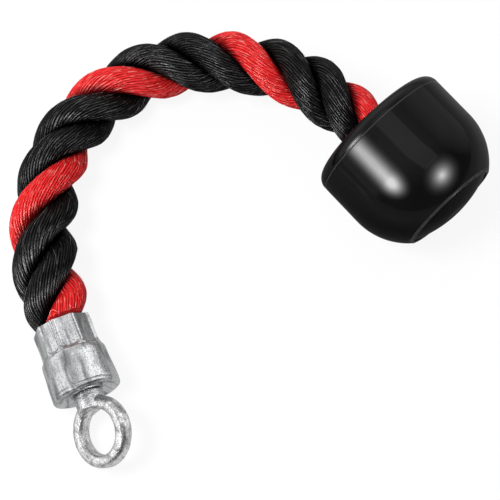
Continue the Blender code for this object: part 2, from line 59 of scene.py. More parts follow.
# Where the fittings stand: the middle of each mouth, the way out of it, and the eye's hole.
SOCKET_MOUTH = np.array((-0.07931, -0.03638, 0.01436))
OUT_OF_SOCKET = np.array((-0.37455, 0.92704, -0.01745))
SOCKET_TURN = math.atan2(OUT_OF_SOCKET[0], OUT_OF_SOCKET[1])
BALL_MOUTH = np.array((0.05383, 0.04643, 0.03431))
OUT_OF_BALL = np.array((-0.67080, 0.73979, 0.05234))
EYE_CENTRE = np.array((-0.06059, -0.08274, 0.01523))
EYE_AXIS = np.array((-0.63712, -0.24365, 0.73124))

# The rope's lay and section, as the CAD has them. Each strand's crown is part of an oval.
ROPE_RADIUS = 0.0138
LAY_LENGTH = 0.0628
LAY_START = math.radians(14.5)
OVAL_CENTRE = 0.495 * ROPE_RADIUS
OVAL_WIDTH = 0.555 * ROPE_RADIUS
STRAND_GAP = 0.0004
CORE_RADIUS = 0.10 * ROPE_RADIUS

# The rope's route: x, y, z and the rope's width there as a share of its full width.
ROUTE = np.array([
    (-0.07931, -0.03638, 0.01436, 1.07),
    (-0.08601, -0.01359, 0.01477, 1.07),
    (-0.08870, 0.00350, 0.01449, 1.05),
    (-0.08756, 0.02140, 0.01421, 1.03),
    (-0.08420, 0.03890, 0.01380, 1.00),
    (-0.07470, 0.05630, 0.01380, 1.00),
    (-0.06090, 0.06980, 0.01366, 0.99),
    (-0.04361, 0.08055, 0.01469, 0.99),
    (-0.02340, 0.08370, 0.01831, 1.00),
    (-0.00090, 0.08065, 0.02371, 0.98),
    (0.02140, 0.07140, 0.02992, 0.97),
    (0.03699, 0.05906, 0.03368, 0.96),
    (0.05221, 0.04494, 0.03431, 0.84),
])

# The rope's ends: their lengths, their widths as a share, and where each strand has swelled.
SLEEVE_LENGTH = 0.0143
ROPE_IN_BALL = 0.0421
SLEEVE_GRIP = 0.765
COLLAR_GRIP = 0.832
STRAND_EASES = (0.0014, 0.012, 0.013)

# Where the rings of a strand's mesh lie: in the sleeve, close past its mouth, then at even steps.
SLEEVE_RINGS = (-SLEEVE_LENGTH, -0.0105, -0.0065)
MOUTH_RINGS = 0.001 * np.array((-2.4, -1.2, 0.0, 0.3, 0.6, 1.0, 1.4, 2.0, 2.8, 3.8, 4.9))
FIRST_EVEN_RING = 0.0060
INTO_BALL = 0.004

YARN_FACES = 6
YARN_ROUNDNESS = 0.62
LOOP_PLACE = np.array((-0.0812, -0.0348, 0.0268))
LOOP_RADIUS = 0.0016
LOOP_THICKNESS = 0.00013

# The socket: radii, and distances below its mouth.
FLAT_RADIUS = 0.011907
RIDGE_RADIUS = 0.013288
SLEEVE_BORE = 0.010857
CUP_TOP_RADIUS = 0.0143
CUP_RADIUS = 0.0149
CUP_SHOULDER = 0.0038
SOCKET_LENGTH = 0.0327
RIM_ROUND = 0.0012
RIM_GROOVE = 0.0306
GROOVE_HALF = 0.0004
GROOVE_DEPTH = 0.00020
MOUTH_ROUND = 0.0005

# The base's recess, the shank's hole, the chamber and the sleeve's bore, as (radius, distance).
SOCKET_INSIDE = (
    (0.0123, SOCKET_LENGTH), (0.0121, 0.0325), (0.0100, 0.0304), (0.0096, 0.0302),
    (0.0046, 0.0302), (0.0043, 0.0299), (0.0043, 0.0272),
    (0.0125, 0.0272), (0.0125, 0.0181),
    (SLEEVE_BORE, SLEEVE_LENGTH), (SLEEVE_BORE, 0.0007),
    (SLEEVE_BORE + 0.0002, 0.0002), (SLEEVE_BORE + 0.0005, 0.0),
)

# The crimp: the angles of its ridges, its flats, how they run out beside a ridge, and the fold.
RIDGE_TURNS = np.radians((43.4, 72.6, 115.1, 162.0, 208.2, 254.5, 300.7, 347.0))
FACE_END = SLEEVE_LENGTH - (RIDGE_RADIUS - FLAT_RADIUS)
EDGE_ROUND = 0.00022
CORNER_SHARE = 0.4
RUN_OUT = 0.0012
RUN_OUT_WIDTH = 0.0013
RIDGE_WEAR = 0.16
FOLD_PLACE = 0.00125
FOLD_WIDTH = 0.00028

# The eye's round neck, from the middle of the hole.
NECK_RADIUS = 0.0064
NECK_TOP = 0.0164
NECK_END = 0.0107
NECK_STEPS = 96

# The ball and its cap: radii, and distances below the ball's mouth.
BALL_RADIUS = 0.033
BALL_LENGTH = 0.0484
BALL_SHOULDER = 0.005
BALL_SIDE_END = 0.0252
PARTING_PLACE = BALL_SHOULDER + 0.0006
NOSE_RADIUS = 0.029934
RIM_RADIUS = 0.021982
RIM_BEAD = 0.00055
COUNTERBORE = 0.017582
BALL_BORE = 0.0141
BORE_LENGTH = 0.0285
BORE_ROUND = 0.0012
CAP_RECESS = 0.021282
CAP_RADIUS = 0.020982
CAP_SEAT = 0.0454
CAP_INSIDE = 0.0457
CAP_DOME = 0.0035
CAP_FLAT = 0.006
SPIGOT_END = 0.0417
SPIGOT_BORE = 0.0155
SPIGOT_RADIUS = 0.01728

# The studio: the middle of the dome that the lamps stand on, and what the camera looks at.
DOME_MIDDLE = Vector((0.04, 0.0, 0.03))
DOME_RADIUS = 0.8
CAMERA_TARGET = Vector((0.00105, -0.0025, 0.0135))


def rows_of(vectors):
    """Unit vectors along the given ones, a row each."""
    return vectors / np.linalg.norm(vectors, axis=1)[:, None]


def lengths_along(line):
    """The distance along a line to each of its points."""
    return np.concatenate([[0], np.cumsum(np.linalg.norm(np.diff(line, axis=0), axis=1))])


def rows_at(places, knots, rows):
    """Rows of numbers, read off at places between knots."""
    return np.stack([np.interp(places, knots, column) for column in rows.T], axis=1)


def angles_round(count):
    """Even angles of a full turn."""
    return math.tau * np.arange(count) / count


def new_object(name, data):
    """A new object in the scene."""
    made = bpy.data.objects.new(name, data)
    bpy.context.scene.collection.objects.link(made)
    return made


def mesh_piece(name, points, faces, material):
    """A new smooth mesh object from points and faces, with its normals outward."""
    mesh = bpy.data.meshes.new(name)
    mesh.from_pydata([tuple(p) for p in points], [], faces)
    shape = bmesh.new()
    shape.from_mesh(mesh)
    bmesh.ops.recalc_face_normals(shape, faces=shape.faces)
    shape.to_mesh(mesh)
    shape.free()
    mesh.shade_smooth()
    mesh.materials.append(material)
    return new_object(name, mesh)


# ---------------------------------------------------------------- finishes

def grey(value):
    """A grey with full alpha."""
    return (value, value, value, 1.0)


def tone(colour, share=1.0):
    """A colour made brighter or darker by a share, with full alpha."""
    return (*(min(1.0, c * share) for c in colour), 1.0)


class Nodes:
    """A short way to add and join the nodes of one finish, or of the world."""

    def __init__(self, name, owner=None):
        self.material = owner or bpy.data.materials.new(name)
        self.material.use_nodes = True
        self.tree = self.material.node_tree
        self.shader = self.tree.nodes.get("Principled BSDF")

    def feed(self, target, value):
        """Joins a socket to an input, or sets the input to a constant value."""
        if isinstance(value, bpy.types.NodeSocket):
            self.tree.links.new(value, target)
        else:
            target.default_value = value

    def add(self, kind, inputs=None, **settings):
        """A new node with its settings, and its inputs by name or number."""
        node = self.tree.nodes.new(kind)
        for key, value in settings.items():
            setattr(node, key, value)
        for key, value in (inputs or {}).items():
            self.feed(node.inputs[key], value)
        return node

    def place(self):
        """The piece's own coordinates."""
        return self.add("ShaderNodeTexCoord").outputs["Object"]

    def stretched(self, source, scale, turn=0.0):
        """Turns coordinates about Z, then scales them."""
        if turn:
            node = self.add("ShaderNodeMapping", {"Vector": source, "Rotation": (0, 0, turn)})
            source = node.outputs["Vector"]
        return self.add("ShaderNodeMapping", {"Vector": source, "Scale": scale}).outputs["Vector"]

    def noise(self, source, scale, detail=3.0, roughness=0.55, distortion=0.0):
        """Soft noise from 0 to 1."""
        inputs = {"Vector": source, "Scale": scale, "Detail": detail}
        inputs.update({"Roughness": roughness, "Distortion": distortion})
        return self.add("ShaderNodeTexNoise", inputs).outputs["Fac"]

    def ramp(self, source, *stops):
        """Turns a number into another through stops of (place, value)."""
        node = self.add("ShaderNodeValToRGB", {"Fac": source})
        elements = node.color_ramp.elements
        while len(elements) < len(stops):
            elements.new(0.5)
        for element, (place, value) in zip(elements, stops):
            element.position = place
            element.color = grey(value)
        return node.outputs["Color"]

    def blend(self, share, first, second, mode="MIX"):
        """A mix of two colours, which are the node's inputs 6 and 7 and its output 2."""
        inputs = {0: share, 6: first, 7: second}
        return self.add("ShaderNodeMix", inputs, data_type="RGBA", blend_type=mode).outputs[2]

    def darken(self, colour, source, *stops):
        """Multiplies a colour by what the stops make of a number."""
        return self.blend(1.0, colour, self.ramp(source, *stops), "MULTIPLY")

    def sums(self, first, second, operation="ADD"):
        """One sum of two numbers."""
        node = self.add("ShaderNodeMath", {0: first, 1: second}, operation=operation)
        return node.outputs["Value"]

    def vector(self, first, second, operation):
        """One sum of two vectors."""
        return self.add("ShaderNodeVectorMath", {0: first, 1: second}, operation=operation).outputs

    def bump(self, height, strength, distance, normal=None):
        """A relief, on top of another one where a normal is given."""
        inputs = {"Height": height, "Strength": strength, "Distance": distance}
        if normal is not None:
            inputs["Normal"] = normal
        return self.add("ShaderNodeBump", inputs).outputs["Normal"]

    def finish(self, **inputs):
        """Feeds the shader's inputs, with _ for each space of a name, and returns the material."""
        for name, value in inputs.items():
            self.feed(self.shader.inputs[name.replace("_", " ")], value)
        return self.material


def yarn_finish(name, colour, light, dark, gloss, specular, tinge):
    """Glossy twisted polypropylene: fine filaments along each yarn with pale streaks, partly paler
    filaments and partly painted highlights, painted shade in the valleys between the yarns and in the
    grooves between the strands, with a ragged edge, and less gloss where that shade is painted."""
    n = Nodes(name)
    along = n.add("ShaderNodeUVMap", uv_map="yarn").outputs["UV"]
    tint, depth, clear = (
        n.add("ShaderNodeAttribute", attribute_name=label).outputs["Fac"]
        for label in ("yarn_tint", "yarn_depth", "groove")
    )
    fine = n.noise(n.stretched(along, (5200.0, 170.0, 1.0)), 1.0, 2.0, 0.6)
    coarse = n.noise(n.stretched(along, (1900.0, 190.0, 1.0)), 1.0, 2.0, 0.6, 0.15)
    drift = n.noise(n.place(), 90.0, 2.0)
    body = n.blend(n.ramp(fine, (0.35, 0.0), (0.70, 1.0)), tone(dark), tone(colour))
    # Pale streaks: partly paler filaments, partly painted highlights.
    body = n.blend(n.ramp(coarse, (0.59, 0.0), (0.67, 0.80)), body, tone(light))
    body = n.darken(body, tint, (0.0, 0.86), (0.8, 1.0))
    # Painted shade in the valleys between the yarns.
    body = n.darken(body, depth, (0.0, 0.12), (0.55, 1.0))
    body = n.darken(body, drift, (0.25, 0.93), (0.75, 1.0))
    # Painted shade near the grooves between the strands, with a ragged edge.
    ragged = n.sums(clear, n.ramp(depth, (0.0, 0.0), (0.8, 0.26)))
    ragged = n.sums(ragged, n.ramp(fine, (0.3, 0.0), (0.7, 0.20)))
    ragged = n.sums(ragged, 0.75, "MULTIPLY")
    shade = n.ramp(ragged, (0.20, 0.03), (0.50, 0.27), (0.82, 0.90), (0.98, 1.0))
    body = n.blend(1.0, body, shade, "MULTIPLY")
    # The gloss is strongest on the yarns' crowns and is cut down in the valleys and in the painted
    # groove shade.
    shine = n.ramp(depth, (0.0, 0.02), (0.72, 0.14), (1.0, 1.0))
    shine = n.blend(1.0, shine, shade, "MULTIPLY")
    shine = n.darken(shine, coarse, (0.36, 0.45 * specular), (0.60, specular))
    return n.finish(
        Base_Color=body,
        Roughness=n.ramp(coarse, (0.3, gloss), (0.7, gloss + 0.10)),
        Normal=n.bump(coarse, 0.9, 0.0006, n.bump(fine, 0.7, 0.00018)),
        Specular_IOR_Level=shine,
        Specular_Tint=tone(tinge),
    )


def fibre_finish(name, colour):
    """A dull filament with paler lengths."""
    n = Nodes(name)
    cloud = n.noise(n.place(), 400.0, 2.0)
    body = n.blend(n.ramp(cloud, (0.4, 0.0), (0.65, 1.0)), tone(colour), tone(colour, 1.6))
    return n.finish(Base_Color=body, Roughness=0.35)


def zinc_finish(
    name, colour, smudge, roughness,
    stretch=(1.0, 1.0, 1.0), relief=0.3, edge=0.45, grain=0.3, pits=0.62,
):
    """Zinc-plated metal: cloudy, with smudged smears along the piece, small pits, an uneven polish and
    a painted dark reflection along the edges where the surface turns away from the view, as dark as
    edge gives."""
    n = Nodes(name)
    place = n.place()
    cloud = n.noise(n.stretched(place, stretch, SOCKET_TURN), 300.0, 4.0, 0.62, 0.5)
    speck = n.noise(place, 1400.0, 3.0, 0.7)
    broad = n.noise(place, 75.0, 2.0)
    # How far the surface turns away from the view, for the painted dark reflection at its edges.
    painted_dark_edge = n.add("ShaderNodeLayerWeight", {"Blend": 0.5}).outputs["Facing"]
    body = n.blend(n.ramp(cloud, (0.36, 0.0), (0.54, 1.0)), tone(colour, smudge), tone(colour))
    body = n.darken(body, speck, (0.34, pits), (0.50, 1.0))
    body = n.darken(body, broad, (0.30, 0.85), (0.65, 1.0))
    # Painted dark reflection towards the edges that turn away from the view.
    body = n.darken(body, painted_dark_edge, (0.72, 1.0), (0.96, edge))
    normal = n.bump(n.ramp(speck, (0.30, 0.0), (0.55, 1.0)), grain, 0.00014)
    return n.finish(
        Base_Color=body,
        Roughness=n.ramp(cloud, (0.30, roughness + 0.10), (0.60, roughness)),
        Normal=n.bump(cloud, relief, 0.0004, normal),
        Metallic=1.0,
    )


def painted_rim_highlight(n, place):
    """Where a pale highlight is painted on the ball: most along the cap's rim, and a little along the
    parting line. Distances are made 500 times larger first, because a ramp is read in 256 steps."""
    apart = n.vector(place, BALL_MOUTH, "SUBTRACT")["Vector"]
    below = n.sums(n.vector(apart, OUT_OF_BALL, "DOT_PRODUCT")["Value"], -1.0, "MULTIPLY")
    beyond = n.sums(n.sums(below, BALL_LENGTH - 0.0013, "SUBTRACT"), 500.0, "MULTIPLY")
    beside = n.sums(n.sums(below, PARTING_PLACE, "SUBTRACT"), 0.0, "ABSOLUTE")
    beside = n.sums(beside, 500.0, "MULTIPLY")
    rim = n.ramp(beyond, (0.12, 0.0), (0.36, 0.55))
    return n.sums(rim, n.ramp(beside, (0.06, 0.32), (0.16, 0.0)), "MAXIMUM")


def gloss_finish(name, colour, roughness, scale, ior=1.30, rim_highlight_grey=0.0):
    """Moulded black plastic: deep gloss with faint haze and hairline handling marks, and, where a grey
    is given for them, a painted grey highlight along the cap's rim and the parting line, which are also
    made rougher."""
    n = Nodes(name)
    place = n.place()
    haze = n.noise(place, scale, 3.0, 0.6)
    hair = n.noise(n.stretched(place, (1.0, 14.0, 3.0)), 700.0, 2.0, 0.6, 0.4)
    faded = grey(colour[0] * 1.7)
    body = n.blend(n.ramp(haze, (0.35, 0.0), (0.75, 1.0)), tone(colour), faded)
    polish = n.ramp(haze, (0.3, roughness), (0.8, roughness + 0.035))
    polish = n.sums(polish, n.ramp(hair, (0.68, 0.0), (0.78, 0.06)))
    if rim_highlight_grey:
        # Painted highlight: a pale grey line along the cap's rim and the parting line, which are also
        # made rougher.
        weight = painted_rim_highlight(n, place)
        body = n.blend(weight, body, grey(rim_highlight_grey))
        polish = n.sums(polish, n.sums(weight, 0.25, "MULTIPLY"))
    normal = n.bump(haze, 0.05, 0.0004)
    return n.finish(Base_Color=body, Roughness=polish, Normal=normal, IOR=ior)


# ---------------------------------------------------------------- the rope

def clamped_spline(points, start, end, count):
    """A cubic spline through the points that leaves along start and arrives along end."""
    knots = lengths_along(points)
    widths = np.diff(knots)
    slopes = np.diff(points, axis=0) / widths[:, None]
    size = len(points)
    system, wanted = np.eye(size), np.zeros((size, 3))
    wanted[0], wanted[-1] = start, end
    for i in range(1, size - 1):
        before, after = widths[i - 1], widths[i]
        system[i, i - 1 : i + 2] = after, 2 * (before + after), before
        wanted[i] = 3 * (after * slopes[i - 1] + before * slopes[i])
    tangents = np.linalg.solve(system, wanted)
    at = np.linspace(0, knots[-1], count)
    left = np.clip(np.searchsorted(knots, at) - 1, 0, size - 2)
    width = widths[left][:, None]
    u = (at - knots[left])[:, None] / width
    return (
        (1 + 2 * u) * (1 - u) ** 2 * points[left]
        + u * (1 - u) ** 2 * width * tangents[left]
        + u**2 * (3 - 2 * u) * points[left + 1]
        + u**2 * (u - 1) * width * tangents[left + 1]
    )


def rope_stations(step, ease):
    """The rope's centre line at even stations, from its end in the socket to its end in the ball:
    points, distances past the socket's mouth, the rope's width as a share, and its free length."""
    points = np.vstack([ROUTE[:, :3], BALL_MOUTH - BORE_LENGTH * OUT_OF_BALL])
    routed = clamped_spline(points, OUT_OF_SOCKET, -OUT_OF_BALL, 1200)
    line = np.vstack([
        SOCKET_MOUTH - SLEEVE_LENGTH * OUT_OF_SOCKET,
        routed,
        BALL_MOUTH - ROPE_IN_BALL * OUT_OF_BALL,
    ])
    along = lengths_along(line)
    knots = lengths_along(points) * lengths_along(routed)[-1] / lengths_along(points)[-1]
    free = knots[-1] - BORE_LENGTH
    count = math.ceil((free + INTO_BALL - FIRST_EVEN_RING) / step) + 1
    even = np.linspace(FIRST_EVEN_RING, free + INTO_BALL, count)
    hidden = np.linspace(free + INTO_BALL, along[-1] - SLEEVE_LENGTH, 15)[1:]
    past = np.concatenate([SLEEVE_RINGS, MOUTH_RINGS, even, hidden])
    centre = rows_at(past + SLEEVE_LENGTH, along, line)
    laid = np.interp(past, knots, [*ROUTE[:, 3], COLLAR_GRIP])
    swell = np.sin(np.clip(past / ease, 0, 1) * math.pi / 2)
    return centre, past, SLEEVE_GRIP + (laid - SLEEVE_GRIP) * swell, free


def lay_frame(centre, past, phase):
    """The directions towards a strand's crown and along its side, at each station."""
    along = rows_of(np.gradient(centre, axis=0))
    up = rows_of(np.array([0.0, 0.0, 1.0]) - along * along[:, 2:])
    across = np.cross(along, up)
    turn = (LAY_START + phase + math.tau * past / LAY_LENGTH)[:, None]
    return np.cos(turn) * up + np.sin(turn) * across, np.cos(turn) * across - np.sin(turn) * up


def strand_section():
    """A strand's section as an even closed line, an oval crown between two flat flanks, its corners
    eased: points, outward normals, the length round it and the flank's share of that."""
    tall, flank = ROPE_RADIUS - OVAL_CENTRE, math.radians(60)
    inset = STRAND_GAP / 2 / math.sin(flank)
    steep, spread = math.cos(flank) / tall, math.sin(flank) / OVAL_WIDTH
    lean = steep * (OVAL_CENTRE - inset) / tall
    both = steep**2 + spread**2
    reach = (lean + math.sqrt(lean**2 - both * (((OVAL_CENTRE - inset) / tall) ** 2 - 1))) / both
    groove = (reach * math.sin(flank), inset + reach * math.cos(flank))
    start = math.atan2((groove[1] - OVAL_CENTRE) / tall, groove[0] / OVAL_WIDTH)
    turn = np.linspace(start, math.pi - start, 240)
    crown = np.stack([OVAL_WIDTH * np.cos(turn), OVAL_CENTRE + tall * np.sin(turn)], axis=1)
    side = np.array((math.sin(flank), math.cos(flank)))
    right = np.array((0.0, inset)) + np.linspace(CORE_RADIUS, reach, 60)[:-1, None] * side
    left = right[::-1] * (-1, 1)
    outline = np.vstack([right, crown, left])
    closed = np.vstack([outline, outline[:1]])
    at = lengths_along(closed)
    outline = rows_at(np.linspace(0, at[-1], 901)[:-1], at, closed)
    window = np.hanning(31)
    window /= window.sum()
    half = len(window) // 2
    wrapped = np.vstack([outline[-half:], outline, outline[:half]])
    outline = np.stack([np.convolve(column, window, "valid") for column in wrapped.T], axis=1)
    step = np.roll(outline, -1, axis=0) - np.roll(outline, 1, axis=0)
    normal = rows_of(np.stack([step[:, 1], -step[:, 0]], axis=1))
    return outline, normal, at[-1], (reach - CORE_RADIUS) / at[-1]


def strand_lines(number, step):
    """One strand's stations as rope_stations gives them, with its directions at each."""
    centre, past, widths, free = rope_stations(step, STRAND_EASES[number])
    crown, side = lay_frame(centre, past, math.tau * number / 3)
    return centre, past, widths, free, crown, side


def slow_waves(count, at, length, seed):
    """Smooth numbers from about -1 to 1, a row for each yarn, in waves of about a length."""
    random = np.random.default_rng(seed)
    total = np.zeros((count, len(at)))
    for share, stretch in ((0.55, 1.0), (0.3, 0.47), (0.15, 0.21)):
        turn = random.uniform(0, math.tau, (count, 1))
        pace = random.uniform(0.75, 1.25, (count, 1))
        total += share * np.sin(math.tau * at[None] / (length * stretch) * pace + turn)
    return total


def yarn_strand(name, number, settings, material):
    """One strand: its yarns stand as ridges that twist against the rope's lay. Each is drawn to
    wander, to stand proud or sink and to differ in tint along the rope."""
    centre, past, widths, _, crown, side = strand_lines(number, settings.station_step)
    outline, normal, length_round, flank = strand_section()
    yarns, count = settings.yarns, len(past)
    ring = yarns * YARN_FACES
    waves = partial(slow_waves, yarns, past)
    u = np.arange(YARN_FACES) / YARN_FACES
    edge = np.arange(yarns)[:, None] + settings.yarn_stray * waves(0.045, 10 + number)
    following = np.vstack([edge[1:], edge[:1] + yarns])
    place = edge[:, None] + (following - edge)[:, None] * u[None, :, None]
    place = place.reshape(ring, -1).T / yarns + settings.yarn_slant * past[:, None] / length_round
    proud = settings.yarn_rise * waves(0.03, 20 + number)
    deep = settings.yarn_depth * (1 + 0.35 * waves(0.05, 30 + number))
    round_over = np.sin(math.pi * u) ** YARN_ROUNDNESS
    back = round_over[None, :, None]
    height = (proud[:, None] * back - deep[:, None] * (1 - back)).reshape(ring, -1).T
    where = np.mod(place, 1.0) * len(outline)
    low = where.astype(int) % len(outline)
    high, share = (low + 1) % len(outline), (where - np.floor(where))[..., None]
    flat = outline[low] * (1 - share) + outline[high] * share
    facing = normal[low] * (1 - share) + normal[high] * share
    flat = (flat + facing * height[..., None]) * widths[:, None, None]
    points = centre[:, None] + flat[..., :1] * side[:, None] + flat[..., 1:] * crown[:, None]
    faces, uvs = [], []
    for i in range(count - 1):
        v0, v1 = past[i], past[i + 1]
        for j in range(ring):
            k = (j + 1) % ring
            faces.append((i * ring + j, (i + 1) * ring + j, (i + 1) * ring + k, i * ring + k))
            u0, u1 = j / ring * length_round, (j + 1) / ring * length_round
            uvs += [(u0, v0), (u0, v1), (u1, v1), (u1, v0)]
    faces += [tuple(range(ring)), tuple((count - 1) * ring + j for j in range(ring))[::-1]]
    uvs += [(0.0, 0.0)] * (2 * ring)
    mesh = bpy.data.meshes.new(name)
    mesh.from_pydata(points.reshape(-1, 3).tolist(), [], faces)
    layer = mesh.uv_layers.new(name="yarn")
    layer.data.foreach_set("uv", np.array(uvs, np.float32).ravel())
    # The groove and yarn_depth values below set where the yarn finish paints shade: near the grooves
    # between strands and in the valleys between yarns.
    turned = np.mod(place, 1.0)
    clear_of_groove = (np.minimum(turned, 1 - turned) - flank) * length_round
    shades = waves(0.09, 40 + number) * 0.35 + 0.65
    for label, values in (
        ("yarn_tint", np.repeat(shades, YARN_FACES, axis=0).T),
        ("yarn_depth", np.broadcast_to(np.tile(round_over, yarns), (count, ring))),
        ("groove", np.clip(clear_of_groove / settings.groove_shade, 0, 1)),
    ):
        attribute = mesh.attributes.new(label, "FLOAT", "POINT")
        attribute.data.foreach_set("value", np.ascontiguousarray(values, np.float32).ravel())
    mesh.shade_smooth()
    mesh.materials.append(material)
    return new_object(name, mesh), centre + crown * (OVAL_CENTRE * widths)[:, None]


def wall(low, high, count):
    """Faces between two rings of points, which start at low and at high."""
    return [(low + j, low + (j + 1) % count, high + (j + 1) % count, high + j) for j in range(count)]


def thread_points(line, radius, sides=4):
    """The rings and walls of a thin thread along a line, its ends drawn in."""
    along = rows_of(np.gradient(line, axis=0))
    up = rows_of(np.cross(along, (0.31, 0.47, 0.83)))
    across = np.cross(along, up)
    taper = np.ones(len(line))
    taper[[0, -1]] = 0.35
    turn = angles_round(sides)[None, :, None]
    rings = line[:, None] + (radius * taper)[:, None, None] * (
        np.cos(turn) * up[:, None] + np.sin(turn) * across[:, None]
    )
    last = (len(line) - 1) * sides
    faces = []
    for low in range(0, last, sides):
        faces += wall(low, low + sides, sides)
    faces += [tuple(range(sides))[::-1], tuple(range(last, last + sides))]
    return rings.reshape(-1, 3), faces


def stray_fibres(name, number, settings, material):
    """Fine broken filaments that lift off one strand's crown. A place is a share of the way round its
    section. Those that would stand in a groove or touch the floor are left out."""
    centre, past, widths, free, crown, side = strand_lines(number, 0.002)
    outline, normal, length_round, _ = strand_section()
    random = np.random.default_rng(50 + number)
    u = np.linspace(0, 1, 6)
    points, faces = [], []
    for _ in range(settings.fibres):
        begin = random.uniform(0.002, free - 0.012)
        long = random.uniform(0.004, 0.011)
        at = begin + long * u
        start = random.uniform(0.24, 0.76)
        wander = random.uniform(-0.03, 0.03)
        slant = settings.yarn_slant * (at - begin) / length_round * random.uniform(0.75, 1.25)
        place = start + slant + wander * u**2
        if place.max() > 0.82 or place.min() < 0.18:
            continue
        index = (place * len(outline)).astype(int)
        lift = 0.00005 + random.uniform(0.0001, 0.0007) * u**2
        flat = outline[index] + normal[index] * lift[:, None]
        flat = flat * np.interp(at, past, widths)[:, None]
        middle, to_side, to_crown = (rows_at(at, past, rows) for rows in (centre, side, crown))
        line = middle + flat[:, :1] * to_side + flat[:, 1:] * to_crown
        if line[:, 2].min() < 0.0006:
            continue
        thread, walls = thread_points(line, random.uniform(0.00003, 0.00006))
        faces += [tuple(len(points) + v for v in face) for face in walls]
        points += thread.tolist()
    return mesh_piece(name, points, faces, material)


# ---------------------------------------------------------------- turned pieces

def turned_piece(name, rings, mouth, way_out, material, steps, shaping=None):
    """A closed body turned about the way out of its mouth. A ring is (radius, distance below the
    mouth), and a radius of zero is a pole. Shaping changes a ring's radii by the angles round it."""
    turn = angles_round(steps)
    points, starts, faces = [], [], []
    for radius, below in rings:
        if radius == 0.0:
            starts.append((len(points), 1))
            points.append((0.0, 0.0, -below))
            continue
        radii = radius if shaping is None else shaping(radius, below, turn)
        starts.append((len(points), steps))
        ring = (radii * np.cos(turn), radii * np.sin(turn), np.full(steps, -below))
        points += np.stack(ring, axis=1).tolist()
    pairs = list(zip(starts, starts[1:]))
    if rings[0][0] > 0.0 and rings[-1][0] > 0.0:
        pairs.append((starts[-1], starts[0]))
    for (low, at_low), (high, at_high) in pairs:
        if at_low == 1:
            faces += [(low, high + (j + 1) % steps, high + j) for j in range(steps)]
        elif at_high == 1:
            faces += [(low + j, low + (j + 1) % steps, high) for j in range(steps)]
        else:
            faces += wall(low, high, steps)
    piece = mesh_piece(name, points, faces, material)
    turn = Vector(way_out).to_track_quat("Z", "Y").to_matrix().to_4x4()
    piece.data.transform(Matrix.Translation(Vector(mouth)) @ turn)
    return piece


def crimped(settings, radius, below, turn):
    """Eight flats with narrow ridges between them, whose ends run out into the shoulder."""
    if below > SLEEVE_LENGTH + CUP_SHOULDER + 0.002 or radius < SLEEVE_BORE + 0.0003:
        return np.full(len(turn), radius)
    past = np.mod(turn[:, None] - RIDGE_TURNS, math.tau).min(axis=1)
    left = np.mod(RIDGE_TURNS - turn[:, None], math.tau).min(axis=1)
    half, local = (past + left) / 2, (past - left) / 2
    to_ridge = np.minimum(past, left) * FLAT_RADIUS
    start = FACE_END - RUN_OUT * np.exp(-to_ridge / RUN_OUT_WIDTH)
    flat = FLAT_RADIUS + np.maximum(0.0, below - start)
    hollow = settings.flat_hollow * math.exp(-max(0.0, below - FACE_END) / 0.002)
    bow = 1 + CORNER_SHARE * (1 / np.cos(local) - 1)
    plane = flat * bow - hollow * np.cos(math.pi * local / (2 * half)) ** 2
    tall = RIDGE_RADIUS - FLAT_RADIUS * (1 + CORNER_SHARE * (1 / np.cos(half) - 1))
    uneven = math.sin(below * 4600 + 2 * math.sin(below * 1500)) ** 2
    weight = 1 - RIDGE_WEAR * uneven
    plane = plane + tall * weight * np.exp(-((to_ridge / settings.ridge_width) ** 2))
    from_fold = (past * FLAT_RADIUS - FOLD_PLACE) / FOLD_WIDTH
    plane = plane + settings.fold * np.exp(-(from_fold**2))
    k = EDGE_ROUND * (1.0 if below > FACE_END else 0.4)
    h = np.clip(0.5 + 0.5 * (plane - radius) / k, 0, 1)
    return plane * (1 - h) + radius * h - k * h * (1 - h)


def round_neck():
    """The eye's round neck, which stands proud of the ring and ends at the edge of the hole."""
    turn = angles_round(NECK_STEPS)
    across = np.cross(OUT_OF_SOCKET, EYE_AXIS)
    side = np.cos(turn)[:, None] * across + np.sin(turn)[:, None] * EYE_AXIS
    rings = []
    for share in (0.25, 0.5, 0.75, 1.0):
        rise = np.sqrt(NECK_END**2 - (share * NECK_RADIUS * np.cos(turn)) ** 2)
        rings.append(EYE_CENTRE + share * NECK_RADIUS * side + rise[:, None] * OUT_OF_SOCKET)
    rings.append(EYE_CENTRE + NECK_RADIUS * side + NECK_TOP * OUT_OF_SOCKET)
    poles = [EYE_CENTRE + NECK_END * OUT_OF_SOCKET, EYE_CENTRE + NECK_TOP * OUT_OF_SOCKET]
    last, low = NECK_STEPS * (len(rings) - 1), NECK_STEPS * len(rings)
    faces = []
    for j in range(NECK_STEPS):
        k = (j + 1) % NECK_STEPS
        faces += [(low, k, j), (low + 1, last + j, last + k)]
    for start in range(0, last, NECK_STEPS):
        faces += wall(start, start + NECK_STEPS, NECK_STEPS)
    mesh = bpy.data.meshes.new("round_neck")
    mesh.from_pydata(np.concatenate([*rings, poles]).tolist(), [], faces)
    return mesh


def bend(centre_r, centre_d, radius, start_deg, end_deg, count):
    """Points (r, d) along an arc of a profile. Zero degrees points away from the axis, 90 up."""
    angles = np.radians(np.linspace(start_deg, end_deg, count + 1))
    return [(centre_r + radius * math.cos(a), centre_d - radius * math.sin(a)) for a in angles]


def run(first, last, step):
    """Points along a straight part of a profile, without its last one."""
    count = max(1, round(math.dist(first, last) / step))
    return [tuple(a + (b - a) * i / count for a, b in zip(first, last)) for i in range(count)]


def ripple(points, size, amount, seed):
    """Small even dents over a surface, as from a die or rough handling."""
    random = np.random.default_rng(seed)
    waves = 14
    total = np.zeros(len(points))
    for _ in range(waves):
        direction = random.normal(size=3)
        direction /= np.linalg.norm(direction)
        wave = size * random.uniform(0.6, 1.6)
        total += np.sin(points @ direction * math.tau / wave + random.uniform(0, 6.28))
    return amount * total / math.sqrt(waves / 2)


